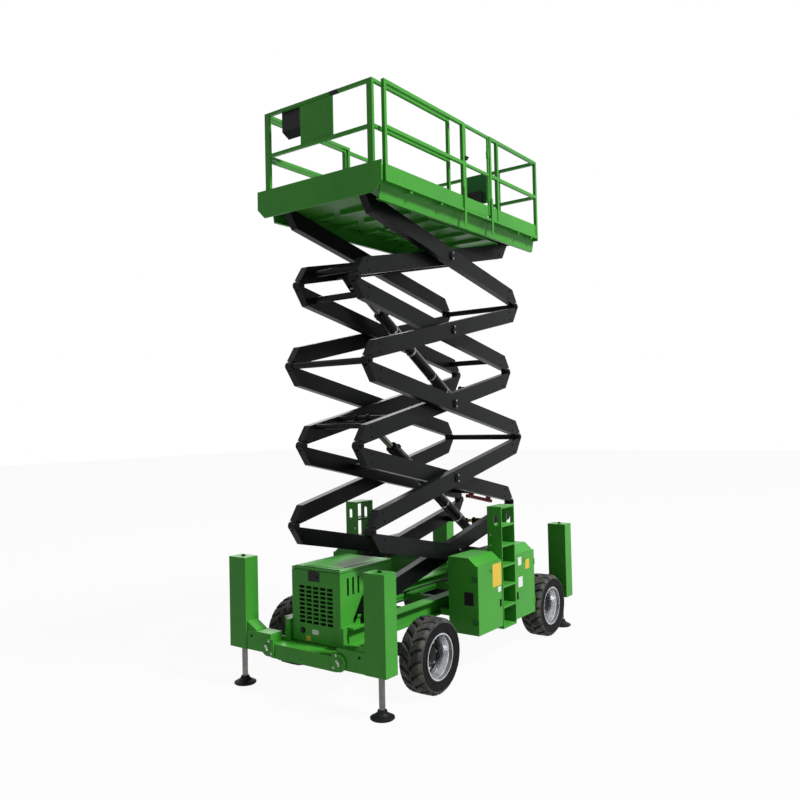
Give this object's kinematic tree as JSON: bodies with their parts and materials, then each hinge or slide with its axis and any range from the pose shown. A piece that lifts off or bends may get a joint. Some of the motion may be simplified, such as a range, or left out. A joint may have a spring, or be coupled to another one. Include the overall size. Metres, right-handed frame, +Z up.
{
  "type": "scissor lift",
  "caption": "Rough-terrain scissor lift: wheeled chassis with outriggers, stacked crossing arms, lift cylinders and a railed platform with a sliding extension deck.",
  "frame": {"origin": "middle of the bounding box on the ground, between the tyres and feet", "axes": "+X to the engine end and platform front, +Y to the left side, +Z up"},
  "size_m": [4.526, 2.32, 6.7708],
  "materials": {
    "green_paint": "gloss paint",
    "charcoal_paint": "satin paint",
    "black_paint": "satin paint",
    "tyre": "matte rubber",
    "rim_silver": "silver paint",
    "rod_steel": "ground steel",
    "red_paint": "gloss paint",
    "dark_plastic": "matte moulding"
  },
  "bodies": {
    "chassis": {"chassis_rails": "green_paint", "chassis_ends": "green_paint", "chassis_ears": "green_paint", "chassis_cross": "green_paint", "axle_front": "charcoal_paint", "axle_rear": "charcoal_paint", "outrigger_legs": "green_paint", "engine_hood": "green_paint", "engine_block": "charcoal_paint", "cabinets": "green_paint", "ladders": "green_paint"},
    "knuckle_fl": {"knuckle_fl": "charcoal_paint"},
    "knuckle_fr": {"knuckle_fr": "charcoal_paint"},
    "wheel_fl": {"tyre_fl": "tyre", "rim_fl": "rim_silver"},
    "wheel_fr": {"tyre_fr": "tyre", "rim_fr": "rim_silver"},
    "wheel_rl": {"tyre_rl": "tyre", "rim_rl": "rim_silver"},
    "wheel_rr": {"tyre_rr": "tyre", "rim_rr": "rim_silver"},
    "jack_fl": {"jack_rod_fl": "rod_steel", "jack_foot_fl": "black_paint"},
    "jack_fr": {"jack_rod_fr": "rod_steel", "jack_foot_fr": "black_paint"},
    "jack_rl": {"jack_rod_rl": "rod_steel", "jack_foot_rl": "black_paint"},
    "jack_rr": {"jack_rod_rr": "rod_steel", "jack_foot_rr": "black_paint"},
    "hood_lid": {"hood_lid": "green_paint"},
    "hood_door": {"hood_door": "green_paint"},
    "door_left_front": {"door_left_front": "green_paint"},
    "door_left_rear": {"door_left_rear": "green_paint"},
    "door_right_front": {"door_right_front": "green_paint"},
    "door_right_rear": {"door_right_rear": "green_paint"},
    "outer_1": {"outer_1": "charcoal_paint"},
    "outer_2": {"outer_2": "charcoal_paint"},
    "outer_3": {"outer_3": "charcoal_paint"},
    "outer_4": {"outer_4": "charcoal_paint"},
    "outer_5": {"outer_5": "charcoal_paint"},
    "inner_1": {"inner_1": "charcoal_paint"},
    "inner_2": {"inner_2": "charcoal_paint"},
    "inner_3": {"inner_3": "charcoal_paint"},
    "inner_4": {"inner_4": "charcoal_paint", "safety_prop": "red_paint"},
    "inner_5": {"inner_5": "charcoal_paint"},
    "barrel_lower": {"barrel_lower": "black_paint"},
    "rod_lower": {"rod_lower": "rod_steel"},
    "barrel_upper": {"barrel_upper": "black_paint"},
    "rod_upper": {"rod_upper": "rod_steel"},
    "platform": {"deck": "green_paint", "rails_left": "green_paint", "rails_right": "green_paint", "rails_rear": "green_paint", "document_box": "dark_plastic"},
    "gate": {"gate": "green_paint"},
    "extension": {"extension_deck": "green_paint", "extension_rails": "green_paint", "control_box": "charcoal_paint"}
  },
  "joints": [
    {"name": "lift", "type": "hinge", "parent": "chassis", "child": "inner_5", "pos_m": [1.729, 0, 0.8633], "axis": [0, 1, 0], "range_deg": [-11.93, 39.6]},
    {"name": "outer_5_pivot", "type": "hinge", "parent": "inner_5", "child": "outer_5", "pos_m": [0.00809, 0, 1.33732], "axis": [0, 1, 0], "range_deg": [-79.22, 23.88]},
    {"name": "inner_4_pivot", "type": "hinge", "parent": "inner_5", "child": "inner_4", "pos_m": [-1.71282, 0, 1.81133], "axis": [0, 1, 0], "range_deg": [-79.22, 23.88]},
    {"name": "inner_3_pivot", "type": "hinge", "parent": "inner_4", "child": "inner_3", "pos_m": [1.729, 0, 2.75937], "axis": [0, 1, 0], "range_deg": [-23.88, 79.22]},
    {"name": "inner_2_pivot", "type": "hinge", "parent": "inner_3", "child": "inner_2", "pos_m": [-1.71282, 0, 3.70741], "axis": [0, 1, 0], "range_deg": [-79.22, 23.88]},
    {"name": "inner_1_pivot", "type": "hinge", "parent": "inner_2", "child": "inner_1", "pos_m": [1.729, 0, 4.65544], "axis": [0, 1, 0], "range_deg": [-23.88, 79.22]},
    {"name": "outer_4_pivot", "type": "hinge", "parent": "outer_5", "child": "outer_4", "pos_m": [1.729, 0, 1.81133], "axis": [0, 1, 0], "range_deg": [-23.88, 79.22]},
    {"name": "outer_3_pivot", "type": "hinge", "parent": "outer_4", "child": "outer_3", "pos_m": [-1.71282, 0, 2.75937], "axis": [0, 1, 0], "range_deg": [-79.22, 23.88]},
    {"name": "outer_2_pivot", "type": "hinge", "parent": "outer_3", "child": "outer_2", "pos_m": [1.729, 0, 3.70741], "axis": [0, 1, 0], "range_deg": [-23.88, 79.22]},
    {"name": "outer_1_pivot", "type": "hinge", "parent": "outer_2", "child": "outer_1", "pos_m": [-1.71282, 0, 4.65544], "axis": [0, 1, 0], "range_deg": [-79.22, 23.88]},
    {"name": "platform_pivot", "type": "hinge", "parent": "outer_1", "child": "platform", "pos_m": [1.729, 0, 5.60348], "axis": [0, 1, 0], "range_deg": [-11.95, 39.62]},
    {"name": "barrel_lower_pivot", "type": "hinge", "parent": "inner_5", "child": "barrel_lower", "pos_m": [-1.30517, 0, 1.4104], "axis": [0, 1, 0], "range_deg": [-78.39, 23.63]},
    {"name": "rod_lower_slide", "type": "slide", "parent": "barrel_lower", "child": "rod_lower", "axis": [0.82, 0, 0.5724], "range_m": [-0.4741, 1.5727]},
    {"name": "barrel_upper_pivot", "type": "hinge", "parent": "inner_3", "child": "barrel_upper", "pos_m": [-1.32585, -0.18, 3.20863], "axis": [0, 1, 0], "range_deg": [-80.78, 24.35]},
    {"name": "rod_upper_slide", "type": "slide", "parent": "barrel_upper", "child": "rod_upper", "axis": [0.8356, 0, 0.5494], "range_m": [-0.4536, 1.5045]},
    {"name": "steer_fl", "type": "hinge", "parent": "chassis", "child": "knuckle_fl", "pos_m": [1.242, 0.79, 0.42], "axis": [0, 0, 1], "range_deg": [-32, 32]},
    {"name": "steer_fr", "type": "hinge", "parent": "chassis", "child": "knuckle_fr", "pos_m": [1.242, -0.79, 0.42], "axis": [0, 0, 1], "range_deg": [-32, 32]},
    {"name": "wheel_fl_spin", "type": "hinge", "parent": "knuckle_fl", "child": "wheel_fl", "pos_m": [1.242, 1.005, 0.42], "axis": [0, 1, 0], "continuous": true},
    {"name": "wheel_fr_spin", "type": "hinge", "parent": "knuckle_fr", "child": "wheel_fr", "pos_m": [1.242, -1.005, 0.42], "axis": [0, 1, 0], "continuous": true},
    {"name": "wheel_rl_spin", "type": "hinge", "parent": "chassis", "child": "wheel_rl", "pos_m": [-1.558, 1.005, 0.42], "axis": [0, 1, 0], "continuous": true},
    {"name": "wheel_rr_spin", "type": "hinge", "parent": "chassis", "child": "wheel_rr", "pos_m": [-1.558, -1.005, 0.42], "axis": [0, 1, 0], "continuous": true},
    {"name": "jack_fl_slide", "type": "slide", "parent": "chassis", "child": "jack_fl", "axis": [0, 0, 1], "range_m": [-0.2, 0.3]},
    {"name": "jack_fr_slide", "type": "slide", "parent": "chassis", "child": "jack_fr", "axis": [0, 0, 1], "range_m": [-0.2, 0.3]},
    {"name": "jack_rl_slide", "type": "slide", "parent": "chassis", "child": "jack_rl", "axis": [0, 0, 1], "range_m": [-0.2, 0.3]},
    {"name": "jack_rr_slide", "type": "slide", "parent": "chassis", "child": "jack_rr", "axis": [0, 0, 1], "range_m": [-0.2, 0.3]},
    {"name": "hood_lid_hinge", "type": "hinge", "parent": "chassis", "child": "hood_lid", "pos_m": [1.07, 0, 1.405], "axis": [0, -1, 0], "range_deg": [0, 70]},
    {"name": "hood_door_hinge", "type": "hinge", "parent": "chassis", "child": "hood_door", "pos_m": [2, 0.36, 0.97], "axis": [0, 0, 1], "range_deg": [0, 100]},
    {"name": "door_left_front_hinge", "type": "hinge", "parent": "chassis", "child": "door_left_front", "pos_m": [0.4, 1.14, 0.857], "axis": [0, 0, -1], "range_deg": [0, 100]},
    {"name": "door_left_rear_hinge", "type": "hinge", "parent": "chassis", "child": "door_left_rear", "pos_m": [-1.06, 1.14, 0.857], "axis": [0, 0, 1], "range_deg": [0, 100]},
    {"name": "door_right_front_hinge", "type": "hinge", "parent": "chassis", "child": "door_right_front", "pos_m": [0.4, -1.14, 0.857], "axis": [0, 0, 1], "range_deg": [0, 100]},
    {"name": "door_right_rear_hinge", "type": "hinge", "parent": "chassis", "child": "door_right_rear", "pos_m": [-1.06, -1.14, 0.857], "axis": [0, 0, -1], "range_deg": [0, 100]},
    {"name": "gate_hinge", "type": "hinge", "parent": "platform", "child": "gate", "pos_m": [-0.528, 0.889, 6.2], "axis": [0, 0, -1], "range_deg": [0, 90]},
    {"name": "extension_slide", "type": "slide", "parent": "platform", "child": "extension", "axis": [1, 0, 0], "range_m": [0, 1.2]}
  ],
  "couplings": [
    {"joint": "outer_5_pivot", "follows": "lift", "ratio": -2},
    {"joint": "inner_4_pivot", "follows": "lift", "ratio": -2},
    {"joint": "inner_3_pivot", "follows": "lift", "ratio": 2},
    {"joint": "inner_2_pivot", "follows": "lift", "ratio": -2},
    {"joint": "inner_1_pivot", "follows": "lift", "ratio": 2},
    {"joint": "outer_4_pivot", "follows": "lift", "ratio": 2},
    {"joint": "outer_3_pivot", "follows": "lift", "ratio": -2},
    {"joint": "outer_2_pivot", "follows": "lift", "ratio": 2},
    {"joint": "outer_1_pivot", "follows": "lift", "ratio": -2},
    {"joint": "platform_pivot", "follows": "lift", "ratio": 1},
    {"joint": "barrel_lower_pivot", "follows": "lift", "ratio": -1.979},
    {"joint": "rod_lower_slide", "follows": "lift", "m_per_rad": 2.2748},
    {"joint": "barrel_upper_pivot", "follows": "lift", "ratio": -2.0393},
    {"joint": "rod_upper_slide", "follows": "lift", "m_per_rad": 2.1761},
    {"joint": "steer_fr", "follows": "steer_fl", "ratio": 1}
  ]
}
